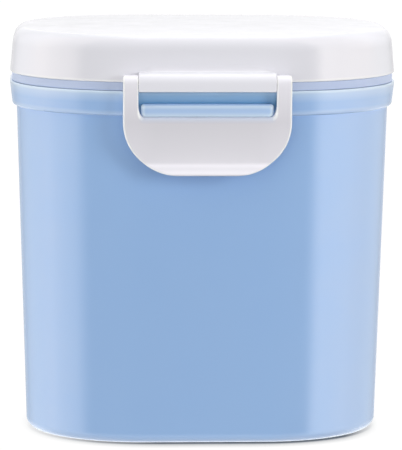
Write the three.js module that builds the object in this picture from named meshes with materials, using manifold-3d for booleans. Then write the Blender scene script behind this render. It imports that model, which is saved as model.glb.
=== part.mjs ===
// Milk powder container: tapered blue tub with a collar, seal band, white lid and front snap latch.
// Millimetres, +Z up. The origin is the middle of the base and the latch faces -Y.
// The container is shut, so the tub and the lid are solid through.

import * as THREE from "three";
import { mergeVertices } from "three/addons/utils/BufferGeometryUtils.js";
import Module from "manifold-3d";

// Plan outline at the lid's rim: straight front, back and sides joined by quarter ellipses
const RIM_WIDTH = 130;
const RIM_DEPTH = 84;
const CORNER_WIDTH = 44.8;
const CORNER_DEPTH = 35.8;

// Tub: insets are measured inwards from the rim's outline
const BASE_INSET = 5.1;
const BASE_EDGE_RADIUS = 3.6;
const NECK_INSET = 2.15;
const COLLAR_BOTTOM = 111.25;
const COLLAR_TOP = 119.5;
const COLLAR_UNDERSIDE_RADIUS = 1.5;
const COLLAR_TOP_INSET = -0.1;
const COLLAR_EDGE_RADIUS = 0.4;

// Seal band and lid
const LAYER_GAP = 0.25;
const RIM_BOTTOM = 122.4;
const SEAL_INSET = 0.65;
const SEAL_EDGE_RADIUS = 0.4;
const TOTAL_HEIGHT = 138;
const LID_LOWER_RADIUS = 0.6;
const LID_DRAFT = 0.8;
const LID_SHOULDER_WIDTH = 4.4;
const LID_SHOULDER_HEIGHT = 6.1;
const LID_CROWN = 0.5;
const CROWN_RINGS = [12, 21, 30];

// Latch, seen from the front
const LATCH_WIDTH = 55.3;
const LATCH_TOP = 125.1;
const LATCH_BOTTOM = 92.35;
const LATCH_CORNER_WIDTH = 18.3;
const LATCH_CORNER_HEIGHT = 17.1;
const ARM_WIDTH = 5;
const ARM_END_RADIUS = 0.9;
const WINDOW_BOTTOM = 111.45;
const WINDOW_CORNER_WIDTH = 2;
const WINDOW_CORNER_HEIGHT = 3.9;

// Latch, seen from the side: distances in front of the rim's outline
const LATCH_FRONT = 4.2;
const ARM_BACK = 0.4;
const PLATE_BACK = 2;
const ARM_FRONT_RADIUS = 2.9;
const ARM_BACK_RADIUS = 0.9;
const LIP_CREASE = 96.2;
const LIP_FLARE = 2.4;
const LIP_EDGE = 0.5;
const SILL_THICKNESS = 1.3;
const CATCH_PLAY = 0.3;

// Hinge bar of the lid, between the latch's arms
const BAR_TOP = 125.8;
const BAR_BOTTOM = 119.6;
const BAR_TOP_RADIUS = 3.2;
const BAR_LOWER_RADIUS = 0.7;
const BAR_FILLET_DEPTH = 1.4;
const BAR_FILLET_HEIGHT = 2.6;
const SIDE_PLAY = 0.25;
const PIVOT_FORWARD = 2.3;
const PIVOT_HEIGHT = 123;
const PIVOT_RADIUS = 1.1;
const PIVOT_LENGTH = 2.2;
const BORE_PLAY = 0.3;

// Catch bar of the tub, which fills the lower half of the latch's window and sits behind its sill
const CATCH_TOP = 115.5;
const CATCH_BOTTOM = 111.3;
const CATCH_WIDTH = 43.4;
const CATCH_FORWARD = 2.6;
const CATCH_UPPER_RADIUS = 1.5;
const CATCH_LOWER_RADIUS = 0.4;
const CATCH_CORNER = 1.2;

// Rear hinge: one knuckle on the tub between two lugs on the lid
const HINGE_BACK = 3.9;
const HINGE_HEIGHT = 121;
const HINGE_RADIUS = 2.7;
const KNUCKLE_WIDTH = 20;
const KNUCKLE_ROOT = 113.6;
const LUG_WIDTH = 8;
const LUG_ROOT = 126.4;
const HINGE_PIN_RADIUS = 1.2;
const HINGE_PIN_LENGTH = 3.5;

// Steps in a quarter turn: half the true number in a moulding, the true number in a swept shape
const PLAN_STEPS = 10;
const EDGE_STEPS = 2;
const SHOULDER_STEPS = 4;
const SWEPT_STEPS = 6;
const CATCH_STEPS = 3;
const LATCH_STEPS = 12;
const PIN_SIDES = 20;

// How far joined shapes run into each other, and cuts run past a face
const EMBED = 2;
const SAME_POINT = 1e-4;

const FRONT = -RIM_DEPTH / 2;
const BACK = RIM_DEPTH / 2;
const QUARTER = Math.PI / 2;
const SIDES = [-1, 1];

const wasm = await Module();
wasm.setup();

// Welds a geometry by position only, so that neighbouring faces share their vertices.
function welded(geometry) {
  const bare = geometry.clone();
  bare.deleteAttribute("normal");
  bare.deleteAttribute("uv");
  return mergeVertices(bare, SAME_POINT);
}

function solidOf(geometry) {
  const mesh = welded(geometry);
  return new wasm.Manifold(
    new wasm.Mesh({
      numProp: 3,
      vertProperties: new Float32Array(mesh.attributes.position.array),
      triVerts: new Uint32Array(mesh.index.array),
    }),
  );
}

function geometryOf(solid) {
  const { numProp, numVert, vertProperties, triVerts } = solid.getMesh();
  const positions = new Float32Array(numVert * 3);
  for (let i = 0; i < numVert; i++) {
    positions.set(vertProperties.subarray(i * numProp, i * numProp + 3), i * 3);
  }
  const indexed = new THREE.BufferGeometry()
    .setAttribute("position", new THREE.BufferAttribute(positions, 3))
    .setIndex(new THREE.BufferAttribute(new Uint32Array(triVerts), 1));
  const faceted = indexed.toNonIndexed();
  faceted.computeVertexNormals();
  return faceted;
}

function join(first, ...others) {
  return others.reduce((sum, geometry) => sum.add(solidOf(geometry)), solidOf(first));
}

// The plan outline drawn `inset` inside the rim, anticlockwise from the middle of the front.
function planOutline(inset) {
  const halfWidth = RIM_WIDTH / 2 - inset;
  const halfDepth = RIM_DEPTH / 2 - inset;
  const across = CORNER_WIDTH - inset;
  const along = CORNER_DEPTH - inset;
  const x = halfWidth - across;
  const y = halfDepth - along;
  return new THREE.Path()
    .moveTo(0, -halfDepth)
    .lineTo(x, -halfDepth)
    .absellipse(x, -y, across, along, -QUARTER, 0)
    .absellipse(x, y, across, along, 0, QUARTER)
    .absellipse(-x, y, across, along, QUARTER, 2 * QUARTER)
    .absellipse(-x, -y, across, along, -2 * QUARTER, -QUARTER)
    .lineTo(0, -halfDepth)
    .getPoints(PLAN_STEPS)
    .filter((point, i, all) => i === 0 || point.distanceTo(all[i - 1]) > SAME_POINT);
}

// A closed moulding whose edge profile is drawn as (inset, z), from its underside to its top.
// It is turned on the Z axis, and each ring is then drawn out from a circle to the plan outline.
function moulding(profile, topHeight = profile[profile.length - 1].y) {
  const turns = planOutline(0).length - 1;
  const section = [
    new THREE.Vector2(0, profile[0].y),
    ...profile.map(({ x, y }) => new THREE.Vector2(RIM_DEPTH / 2 - x, y)),
    new THREE.Vector2(0, topHeight),
  ];
  const turned = new THREE.LatheGeometry(section, turns);
  const position = turned.attributes.position;
  const rings = section.map((_, level) => {
    const onAxis = level === 0 || level === section.length - 1;
    return onAxis ? null : planOutline(profile[level - 1].x);
  });
  for (let turn = 0; turn <= turns; turn++) {
    rings.forEach((ring, level) => {
      const { x, y } = ring ? ring[turn] : new THREE.Vector2();
      position.setXYZ(turn * section.length + level, x, y, section[level].y);
    });
  }
  return turned;
}

// A profile drawn as (y, z) and swept across the width, from x = from to x = to.
function sweptAcross(profile, from, to, curveSegments = SWEPT_STEPS) {
  return new THREE.ExtrudeGeometry(profile, { depth: to - from, bevelEnabled: false, curveSegments })
    .translate(0, 0, from)
    .rotateX(QUARTER)
    .rotateZ(QUARTER);
}

// An outline drawn as (x, z) in the front view, and standing from y = back forward to y = front.
function standingPlate(outline, back, front, curveSegments) {
  return new THREE.ExtrudeGeometry(outline, { depth: back - front, bevelEnabled: false, curveSegments })
    .rotateX(QUARTER)
    .translate(0, back, 0);
}

function ordered(...ends) {
  return ends.sort((a, b) => a - b);
}

// A round pin along X.
function pinAcross(radius, from, to, y, z) {
  return new THREE.CylinderGeometry(radius, radius, to - from, PIN_SIDES)
    .rotateZ(QUARTER)
    .translate((from + to) / 2, y, z);
}

// Tub

function tubProfile() {
  const baseRise = BASE_INSET + BASE_EDGE_RADIUS;
  const faceInset = NECK_INSET - COLLAR_UNDERSIDE_RADIUS;
  const faceBottom = COLLAR_BOTTOM + COLLAR_UNDERSIDE_RADIUS;
  const faceTop = COLLAR_TOP - COLLAR_EDGE_RADIUS;
  const edgeInset = COLLAR_TOP_INSET + COLLAR_EDGE_RADIUS;
  return new THREE.Path()
    .moveTo(baseRise, 0)
    .absarc(baseRise, BASE_EDGE_RADIUS, BASE_EDGE_RADIUS, -QUARTER, -2 * QUARTER, true)
    .lineTo(NECK_INSET, COLLAR_BOTTOM)
    .absarc(NECK_INSET, faceBottom, COLLAR_UNDERSIDE_RADIUS, -QUARTER, -2 * QUARTER, true)
    .lineTo(faceInset, faceBottom)
    .absarc(edgeInset, faceTop, COLLAR_EDGE_RADIUS, 2 * QUARTER, QUARTER, true)
    .getPoints(EDGE_STEPS);
}

// The catch bar's nose in the side view: a block on the collar's face with rounded front edges.
function catchNose() {
  const front = FRONT - CATCH_FORWARD;
  const root = FRONT + EMBED;
  const upper = [front + CATCH_UPPER_RADIUS, CATCH_TOP - CATCH_UPPER_RADIUS, CATCH_UPPER_RADIUS];
  const lower = [front + CATCH_LOWER_RADIUS, CATCH_BOTTOM + CATCH_LOWER_RADIUS, CATCH_LOWER_RADIUS];
  const nose = new THREE.Shape();
  nose.moveTo(root, CATCH_BOTTOM);
  nose.lineTo(root, CATCH_TOP);
  nose.absarc(...upper, QUARTER, 2 * QUARTER, false);
  nose.absarc(...lower, -2 * QUARTER, -QUARTER, false);
  return nose;
}

// The catch bar's outline in the front view: round upper corners, and lower ones cut off.
function catchOutline() {
  const half = CATCH_WIDTH / 2;
  const upper = CATCH_TOP - CATCH_CORNER;
  const inner = half - CATCH_CORNER;
  const outline = new THREE.Shape();
  outline.moveTo(-inner, CATCH_BOTTOM);
  outline.lineTo(inner, CATCH_BOTTOM);
  outline.lineTo(half, CATCH_BOTTOM + CATCH_CORNER);
  outline.absarc(inner, upper, CATCH_CORNER, 0, QUARTER, false);
  outline.absarc(-inner, upper, CATCH_CORNER, QUARTER, 2 * QUARTER, false);
  outline.lineTo(-half, CATCH_BOTTOM + CATCH_CORNER);
  return outline;
}

function catchBar() {
  const swept = solidOf(sweptAcross(catchNose(), -CATCH_WIDTH, CATCH_WIDTH, CATCH_STEPS));
  const front = FRONT - 2 * CATCH_FORWARD;
  const cut = solidOf(standingPlate(catchOutline(), FRONT + 2 * EMBED, front, CATCH_STEPS));
  return geometryOf(swept.intersect(cut));
}

// The angle round the rear hinge's barrel at which a straight line from the back at `height` touches
// its outer side.
function touchAngle(height) {
  const rise = height - HINGE_HEIGHT;
  const swing = Math.acos(HINGE_RADIUS / Math.hypot(HINGE_BACK, rise));
  return Math.atan2(rise, -HINGE_BACK) - Math.sign(rise) * swing;
}

// The tub's knuckle rises from the collar's face and wraps the rear hinge's axis.
function knuckleProfile() {
  const axis = BACK + HINGE_BACK;
  const profile = new THREE.Shape();
  profile.moveTo(BACK - EMBED, KNUCKLE_ROOT);
  profile.lineTo(BACK, KNUCKLE_ROOT);
  profile.absarc(axis, HINGE_HEIGHT, HINGE_RADIUS, touchAngle(KNUCKLE_ROOT), 2 * QUARTER, false);
  profile.lineTo(axis - HINGE_RADIUS, COLLAR_TOP - COLLAR_EDGE_RADIUS);
  profile.lineTo(BACK - EMBED, COLLAR_TOP - COLLAR_EDGE_RADIUS);
  return profile;
}

function tub() {
  const axis = BACK + HINGE_BACK;
  const reach = KNUCKLE_WIDTH / 2 + HINGE_PIN_LENGTH;
  const knuckle = sweptAcross(knuckleProfile(), -KNUCKLE_WIDTH / 2, KNUCKLE_WIDTH / 2);
  const pin = pinAcross(HINGE_PIN_RADIUS, -reach, reach, axis, HINGE_HEIGHT);
  return geometryOf(join(moulding(tubProfile()), catchBar(), knuckle, pin));
}

// Seal band

function sealBand() {
  const bottom = COLLAR_TOP + LAYER_GAP;
  const top = RIM_BOTTOM - LAYER_GAP;
  const inner = SEAL_INSET + SEAL_EDGE_RADIUS;
  const profile = new THREE.Path()
    .moveTo(inner, bottom)
    .absarc(inner, bottom + SEAL_EDGE_RADIUS, SEAL_EDGE_RADIUS, -QUARTER, -2 * QUARTER, true)
    .absarc(inner, top - SEAL_EDGE_RADIUS, SEAL_EDGE_RADIUS, 2 * QUARTER, QUARTER, true)
    .getPoints(EDGE_STEPS);
  return moulding(profile);
}

// Lid

// The lid's sides lean in to an elliptical shoulder, and its top rises in a low crown to the middle.
function lidShell() {
  const shoulderInset = LID_DRAFT + LID_SHOULDER_WIDTH;
  const shoulderTop = TOTAL_HEIGHT - LID_CROWN;
  const radius = LID_LOWER_RADIUS;
  const lower = new THREE.Path()
    .moveTo(radius, RIM_BOTTOM)
    .absarc(radius, RIM_BOTTOM + radius, radius, -QUARTER, -2 * QUARTER, true)
    .getPoints(EDGE_STEPS);
  const shoulder = new THREE.Path()
    .absellipse(
      shoulderInset,
      shoulderTop - LID_SHOULDER_HEIGHT,
      LID_SHOULDER_WIDTH,
      LID_SHOULDER_HEIGHT,
      2 * QUARTER,
      QUARTER,
      true,
    )
    .getPoints(SHOULDER_STEPS);
  const crown = CROWN_RINGS.map((inset) => {
    const left = (BACK - inset) / (BACK - shoulderInset);
    return new THREE.Vector2(inset, TOTAL_HEIGHT - LID_CROWN * left ** 2);
  });
  return moulding([...lower, ...shoulder, ...crown], TOTAL_HEIGHT);
}

// The hinge bar hangs in front of the seal and the collar, and its front is level with the latch.
// A fillet carries its top over into the lid's face.
function barProfile() {
  const front = FRONT - LATCH_FRONT;
  const back = FRONT - ARM_BACK;
  const upper = [front + BAR_TOP_RADIUS, BAR_TOP - BAR_TOP_RADIUS, BAR_TOP_RADIUS];
  const lower = [front + BAR_LOWER_RADIUS, BAR_BOTTOM + BAR_LOWER_RADIUS, BAR_LOWER_RADIUS];
  const face = FRONT + LID_DRAFT / 2;
  const filletTop = BAR_TOP + BAR_FILLET_HEIGHT;
  const fillet = [face - BAR_FILLET_DEPTH, filletTop, BAR_FILLET_DEPTH, BAR_FILLET_HEIGHT];
  const profile = new THREE.Shape();
  profile.moveTo(FRONT + EMBED, filletTop);
  profile.lineTo(face, filletTop);
  profile.absellipse(...fillet, 0, -QUARTER, true);
  profile.absarc(...upper, QUARTER, 2 * QUARTER, false);
  profile.absarc(...lower, -2 * QUARTER, -QUARTER, false);
  profile.lineTo(back, BAR_BOTTOM);
  profile.lineTo(back, RIM_BOTTOM + LID_LOWER_RADIUS / 2);
  profile.lineTo(FRONT + EMBED, RIM_BOTTOM + LID_LOWER_RADIUS);
  return profile;
}

function lugProfile() {
  const axis = BACK + HINGE_BACK;
  const profile = new THREE.Shape();
  profile.moveTo(BACK - EMBED, LUG_ROOT);
  profile.lineTo(BACK - EMBED, RIM_BOTTOM + LID_LOWER_RADIUS);
  profile.lineTo(axis - HINGE_RADIUS, RIM_BOTTOM + LID_LOWER_RADIUS / 2);
  profile.absarc(axis, HINGE_HEIGHT, HINGE_RADIUS, 2 * QUARTER, 4 * QUARTER + touchAngle(LUG_ROOT), false);
  profile.lineTo(BACK, LUG_ROOT);
  return profile;
}

function lid() {
  const barHalf = LATCH_WIDTH / 2 - ARM_WIDTH - SIDE_PLAY;
  const lugStart = KNUCKLE_WIDTH / 2 + LAYER_GAP;
  const hingeAxis = BACK + HINGE_BACK;
  const bar = sweptAcross(barProfile(), -barHalf, barHalf);
  const lugs = SIDES.map((side) => {
    return sweptAcross(lugProfile(), ...ordered(side * lugStart, side * (lugStart + LUG_WIDTH)));
  });
  let solid = join(lidShell(), bar, ...lugs);
  for (const side of SIDES) {
    const boreEnds = ordered(side * (barHalf - PIVOT_LENGTH), side * (barHalf + EMBED));
    const bore = pinAcross(PIVOT_RADIUS + BORE_PLAY, ...boreEnds, FRONT - PIVOT_FORWARD, PIVOT_HEIGHT);
    const socketEnd = lugStart + HINGE_PIN_LENGTH + BORE_PLAY;
    const socketEnds = ordered(side * (lugStart - EMBED), side * socketEnd);
    const socket = pinAcross(HINGE_PIN_RADIUS + BORE_PLAY, ...socketEnds, hingeAxis, HINGE_HEIGHT);
    solid = solid.subtract(solidOf(bore)).subtract(solidOf(socket));
  }
  return geometryOf(solid);
}

// Latch

// The U-shaped front view: two arms beside the window, and a plate with wide elliptical lower corners.
function latchOutline() {
  const half = LATCH_WIDTH / 2;
  const inner = half - ARM_WIDTH;
  const cornerX = half - LATCH_CORNER_WIDTH;
  const cornerZ = LATCH_BOTTOM + LATCH_CORNER_HEIGHT;
  const windowX = inner - WINDOW_CORNER_WIDTH;
  const windowZ = WINDOW_BOTTOM + WINDOW_CORNER_HEIGHT;
  const end = ARM_END_RADIUS;
  const corner = [LATCH_CORNER_WIDTH, LATCH_CORNER_HEIGHT];
  const windowCorner = [WINDOW_CORNER_WIDTH, WINDOW_CORNER_HEIGHT];
  const outline = new THREE.Shape();
  outline.moveTo(-half, cornerZ);
  outline.absellipse(-cornerX, cornerZ, ...corner, 2 * QUARTER, 3 * QUARTER, false);
  outline.absellipse(cornerX, cornerZ, ...corner, -QUARTER, 0, false);
  outline.absarc(half - end, LATCH_TOP - end, end, 0, QUARTER, false);
  outline.lineTo(inner, LATCH_TOP);
  outline.absellipse(windowX, windowZ, ...windowCorner, 0, -QUARTER, true);
  outline.absellipse(-windowX, windowZ, ...windowCorner, -QUARTER, -2 * QUARTER, true);
  outline.lineTo(-inner, LATCH_TOP);
  outline.absarc(-half + end, LATCH_TOP - end, end, QUARTER, 2 * QUARTER, false);
  return outline;
}

// The side view: deep arms round the pivot, a thinner plate below the collar, and a flared lip.
function latchProfile() {
  const front = FRONT - LATCH_FRONT;
  const armBack = FRONT - ARM_BACK;
  const plateBack = FRONT - PLATE_BACK;
  const backRound = [armBack - ARM_BACK_RADIUS, LATCH_TOP - ARM_BACK_RADIUS, ARM_BACK_RADIUS];
  const frontRound = [front + ARM_FRONT_RADIUS, LATCH_TOP - ARM_FRONT_RADIUS, ARM_FRONT_RADIUS];
  const tip = LATCH_BOTTOM + LIP_EDGE;
  const profile = new THREE.Shape();
  profile.moveTo(armBack, COLLAR_BOTTOM);
  profile.absarc(...backRound, 0, QUARTER, false);
  profile.absarc(...frontRound, QUARTER, 2 * QUARTER, false);
  profile.lineTo(front, LIP_CREASE);
  profile.lineTo(front - LIP_FLARE, tip);
  profile.lineTo(front - LIP_FLARE + LIP_EDGE, LATCH_BOTTOM);
  profile.lineTo(plateBack - LIP_FLARE - LIP_EDGE, LATCH_BOTTOM);
  profile.lineTo(plateBack - LIP_FLARE, tip);
  profile.lineTo(plateBack, LIP_CREASE + LIP_EDGE);
  profile.lineTo(plateBack, COLLAR_BOTTOM - PLATE_BACK);
  return profile;
}

// What is cut out behind the window's sill, where the catch bar sits.
function catchPocket() {
  const front = FRONT - LATCH_FRONT + SILL_THICKNESS;
  const floor = CATCH_BOTTOM - CATCH_PLAY;
  const height = CATCH_TOP + CATCH_PLAY - floor;
  return new THREE.BoxGeometry(CATCH_WIDTH + 2 * CATCH_PLAY, FRONT + EMBED - front, height)
    .translate(0, (FRONT + EMBED + front) / 2, floor + height / 2);
}

function latch() {
  const half = LATCH_WIDTH / 2;
  const inner = half - ARM_WIDTH;
  const front = FRONT - 2 * LATCH_FRONT;
  const seenFromFront = solidOf(standingPlate(latchOutline(), FRONT, front, LATCH_STEPS));
  const seenFromSide = solidOf(sweptAcross(latchProfile(), -half - EMBED, half + EMBED));
  let solid = seenFromFront.intersect(seenFromSide).subtract(solidOf(catchPocket()));
  for (const side of SIDES) {
    const ends = ordered(side * (inner - PIVOT_LENGTH + BORE_PLAY), side * (inner + EMBED));
    const pivot = pinAcross(PIVOT_RADIUS, ...ends, FRONT - PIVOT_FORWARD, PIVOT_HEIGHT);
    solid = solid.add(solidOf(pivot));
  }
  return geometryOf(solid);
}

function plastic(name, color, roughness) {
  return new THREE.MeshStandardMaterial({ name, color, roughness, metalness: 0 });
}

function piece(name, geometry, material) {
  const mesh = new THREE.Mesh(geometry, material);
  mesh.name = name;
  return mesh;
}

const container = new THREE.Group();
container.name = "milk_powder_container";
container.add(piece("tub", tub(), plastic("blue plastic", 0x9dc0ec, 0.28)));
container.add(piece("seal_band", sealBand(), plastic("pale silicone", 0xc3cede, 0.5)));

const closure = new THREE.Group();
closure.name = "closure";
closure.add(piece("lid", lid(), plastic("white plastic", 0xf4f4f7, 0.25)));
closure.add(piece("latch", latch(), plastic("white latch plastic", 0xefeff2, 0.25)));
container.add(closure);

export default container;
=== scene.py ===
# Milk powder container: blue tub, seal band, glossy white lid and front snap latch.
# Sizes are in millimetres, as in the part's source, and the meshes are made in metres.

import math

import bmesh
import bpy
from mathutils import Matrix, Vector


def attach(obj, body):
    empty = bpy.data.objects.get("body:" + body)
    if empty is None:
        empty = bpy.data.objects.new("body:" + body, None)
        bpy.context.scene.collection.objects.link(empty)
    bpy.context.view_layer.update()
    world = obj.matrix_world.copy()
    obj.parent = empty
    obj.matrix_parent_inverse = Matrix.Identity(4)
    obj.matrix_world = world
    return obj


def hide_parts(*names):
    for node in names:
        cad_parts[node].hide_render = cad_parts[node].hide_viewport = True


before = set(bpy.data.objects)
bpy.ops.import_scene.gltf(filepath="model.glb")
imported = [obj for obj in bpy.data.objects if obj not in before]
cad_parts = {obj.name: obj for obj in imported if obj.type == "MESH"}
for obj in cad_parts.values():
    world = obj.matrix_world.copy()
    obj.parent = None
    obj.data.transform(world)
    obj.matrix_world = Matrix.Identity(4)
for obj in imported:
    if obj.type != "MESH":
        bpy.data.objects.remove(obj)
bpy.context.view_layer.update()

MM = 0.001
QUARTER = math.pi / 2

# Plan outline at the lid's rim
RIM_WIDTH = 130
RIM_DEPTH = 84
CORNER_WIDTH = 44.8
CORNER_DEPTH = 35.8
FRONT = -RIM_DEPTH / 2
BACK = RIM_DEPTH / 2

# Tub: insets are measured inwards from the rim's outline
BASE_INSET = 5.1
BASE_EDGE_RADIUS = 3.6
NECK_INSET = 2.15
NECK_FILLET = 0.3
COLLAR_BOTTOM = 111.25
COLLAR_TOP = 119.5
COLLAR_FACE_INSET = 0.65
COLLAR_UNDERSIDE_RADIUS = 1.2
COLLAR_TOP_INSET = -0.1
COLLAR_EDGE_RADIUS = 0.4

# Seal band and lid
RIM_BOTTOM = 122.4
SEAL_INSET = 0.65
SEAL_EDGE_RADIUS = 0.2
SEAL_GAP_BELOW = 0.08
SEAL_GAP_ABOVE = 0.03
TOTAL_HEIGHT = 138
LID_LOWER_RADIUS = 0.6
LID_DRAFT = 0.8
LID_SHOULDER_WIDTH = 4.4
LID_SHOULDER_HEIGHT = 6.1
LID_CROWN = 0.5

# Latch
LATCH_WIDTH = 55.3
LATCH_TOP = 125.1
LATCH_BOTTOM = 92.35
LATCH_CORNER_WIDTH = 18.3
LATCH_CORNER_HEIGHT = 17.1
ARM_WIDTH = 5
ARM_OUTER_CORNER = 0.9
ARM_INNER_CORNER = 0.6
WINDOW_BOTTOM = 111.45
WINDOW_CORNER_WIDTH = 2
WINDOW_CORNER_HEIGHT = 3.9
LATCH_FRONT = 4.2
ARM_BACK = 0.4
PLATE_BACK = 2
ARM_FRONT_RADIUS = 2.9
ARM_BACK_RADIUS = 0.9
LIP_CREASE = 96.2
LIP_FLARE = 2.4
LIP_EDGE = 0.5
LIP_BEND = 0.6
SILL_THICKNESS = 1.3
CATCH_PLAY = 0.3
LATCH_OUTER_ROUND = 0.65
LATCH_INNER_ROUND = 0.45
WINDOW_SILL_ROUND = 1.7
LATCH_BACK_ROUND = 0.35
# Heights at which its faces are cut across, besides its rounds and bends
LATCH_CUTS = (LIP_CREASE - 1.2, LIP_CREASE - 2.3, LATCH_BOTTOM + LIP_EDGE, 100, 104, 107, 117, 121)
# How many millimetres deep a round is for one unit of y in the flat rings that it is drawn with
FLAT_UNIT = 4
# The X of a normal from which a latch edge gets its painted highlight, and the span from there to a full
# painted highlight
EDGE_HIGHLIGHT_TURN = 0.02
EDGE_HIGHLIGHT_SPAN = 0.25

# Hinge bar of the lid
BAR_TOP = 125.8
BAR_BOTTOM = 119.6
BAR_TOP_RADIUS = 3.2
BAR_LOWER_RADIUS = 0.7
BAR_END_ROUND = 0.35
BAR_FILLET_DEPTH = 1.4
BAR_FILLET_HEIGHT = 2.6
BAR_FILLET_RUN_OUT = 5
# The share of it that is left at both ends, its reach below the bar's top, and how far its round sinks in
BAR_FILLET_LEFT_AT_END = 0.1
BAR_FILLET_ROOT = 1
BAR_FILLET_SINK = 0.02
SIDE_PLAY = 0.12
BAR_HALF_WIDTH = LATCH_WIDTH / 2 - ARM_WIDTH - SIDE_PLAY
PIVOT_FORWARD = 2.3
PIVOT_HEIGHT = 123
PIVOT_RADIUS = 1.1
PIVOT_LENGTH = 2.2
BORE_PLAY = 0.3

# Catch bar of the tub
CATCH_TOP = 115.5
CATCH_BOTTOM = 111.3
CATCH_WIDTH = 43.4
CATCH_FORWARD = 2.6
CATCH_UPPER_ROUND = 1.5
CATCH_LOWER_ROUND = 0.4
CATCH_END_ROUND = 0.8
CATCH_CORNER_WIDTH = 1
CATCH_UPPER_CORNER = 0.9
CATCH_LOWER_CORNER = 1.7

# Rear hinge
HINGE_BACK = 3.9
HINGE_HEIGHT = 121
HINGE_RADIUS = 2.7
KNUCKLE_WIDTH = 20
KNUCKLE_ROOT = 113.6
LUG_WIDTH = 8
LUG_GAP = 0.25
LUG_ROOT = 126.4
HINGE_PIN_RADIUS = 1.2
HINGE_PIN_LENGTH = 3.5
HINGE_END_ROUND = 0.35

# How far joined shapes run into each other
EMBED = 2
# How far from the ends of a straight edge or a flat face its outermost points stand
SUPPORT = 0.2
# Steps round each corner of the plan, and sides of a pin
PLAN_STEPS = 30
PIN_SIDES = 32
# Insets of the points on a flat underside or top, and on the lid's crown
LEVEL_INSETS = (12, 18, 24, 30, 36, 42)
CROWN_INSETS = (5.5, 6, 7, 8.5, 10, 12, 14, 17, 20, 24, 28, 32, 37, 42)
SHARP_ANGLE = math.radians(38)
# In metres: points closer than this are one, edges shorter than this are dropped, and the slack of a cut
MERGE_DISTANCE = 0.002 * MM
SHORTEST_EDGE = 0.001 * MM
CUT_SLACK = 1e-6 * MM


class Wiring:
    """Adds nodes to a tree. A socket that is handed in is joined, and any other value is set."""

    def __init__(self, tree):
        self.tree = tree

    def node(self, kind, inputs=(), **settings):
        made = self.tree.nodes.new(kind)
        for name, value in settings.items():
            setattr(made, name, value)
        for name, value in dict(inputs).items():
            self.feed(made.inputs[name], value)
        return made

    def feed(self, socket, value):
        if isinstance(value, bpy.types.NodeSocket):
            self.tree.links.new(value, socket)
        else:
            socket.default_value = value

    def math(self, operation, *values):
        made = self.node("ShaderNodeMath", operation=operation)
        for socket, value in zip(made.inputs, values):
            self.feed(socket, value)
        return made.outputs[0]

    def graph(self, value, stops):
        """Reads a value off a graph that is given as (value, result) stops, straight between them."""
        low, high = stops[0][0], stops[-1][0]
        peak = max(result for _, result in stops)
        share = self.math("DIVIDE", self.math("SUBTRACT", value, low), high - low)
        made = self.node("ShaderNodeValToRGB", {"Fac": share})
        elements = made.color_ramp.elements
        for place, result in stops[1:-1]:
            elements.new((place - low) / (high - low)).color = (*[result / peak] * 3, 1)
        for element, (_, result) in ((elements[0], stops[0]), (elements[-1], stops[-1])):
            element.color = (*[result / peak] * 3, 1)
        return self.math("MULTIPLY", made.outputs["Color"], peak)

    def blend(self, share, colour, other):
        made = self.node("ShaderNodeMix", data_type="RGBA")
        self.feed(made.inputs["Factor"], share)
        self.feed(made.inputs[6], colour)
        self.feed(made.inputs[7], other)
        return made.outputs[2]

    def toned(self, vector, share):
        scaled = self.node("ShaderNodeVectorMath", operation="SCALE")
        self.feed(scaled.inputs[0], vector)
        self.feed(scaled.inputs["Scale"], share)
        return scaled.outputs[0]

    def millimetres(self, place):
        return self.node("ShaderNodeSeparateXYZ", {"Vector": self.toned(place, 1 / MM)}).outputs


# Camera: its place and aim in millimetres, its turn about its own axis in radians, and its lens

CAMERA_PLACE = (-47.05, -1033.53, 235.11)
CAMERA_AIM = (0.098, 0, 68.47)
CAMERA_TURN = 0.0059
LENS = 273.2
SENSOR_WIDTH = 36
FARTHEST_SEEN = 20


def set_camera():
    """The camera stands at the photograph's viewing angle, a little left of the front and above the lid."""
    place = Vector(CAMERA_PLACE) * MM
    ahead = (Vector(CAMERA_AIM) * MM - place).normalized()
    right = ahead.cross(Vector((0, 0, 1))).normalized()
    up = right.cross(ahead)
    level = Matrix((right, up, -ahead)).transposed()
    lens = bpy.data.cameras.new("camera")
    lens.sensor_fit = "HORIZONTAL"
    lens.sensor_width = SENSOR_WIDTH
    lens.lens = LENS
    lens.clip_end = FARTHEST_SEEN
    camera = bpy.data.objects.new("camera", lens)
    turned = level @ Matrix.Rotation(CAMERA_TURN, 3, "Z")
    camera.matrix_world = Matrix.Translation(place) @ turned.to_4x4()
    bpy.context.scene.collection.objects.link(camera)
    bpy.context.scene.camera = camera


# Finishes

# Patterns as (scale, detail, roughness)
CLOUDS = (38, 3, 0.55)
SMEARS = (110, 4, 0.6)
PEEL = (520, 2, 0.5)
GRAIN = (3200, 3, 0.65)
# The part of the smears' range that carries the gloss from one end to the other
SMEAR_SPAN = (0.3, 0.7)
PEEL_STRENGTH = 0.12
# How high the peel and the grain stand, in metres
PEEL_HEIGHT = 0.00006
GRAIN_HEIGHT = 0.00004
PLASTIC_IOR = 1.5


def new_material(name):
    material = bpy.data.materials.new(name)
    material.use_nodes = True
    tree = material.node_tree
    surface = tree.nodes["Principled BSDF"]
    return material, Wiring(tree), surface


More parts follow.
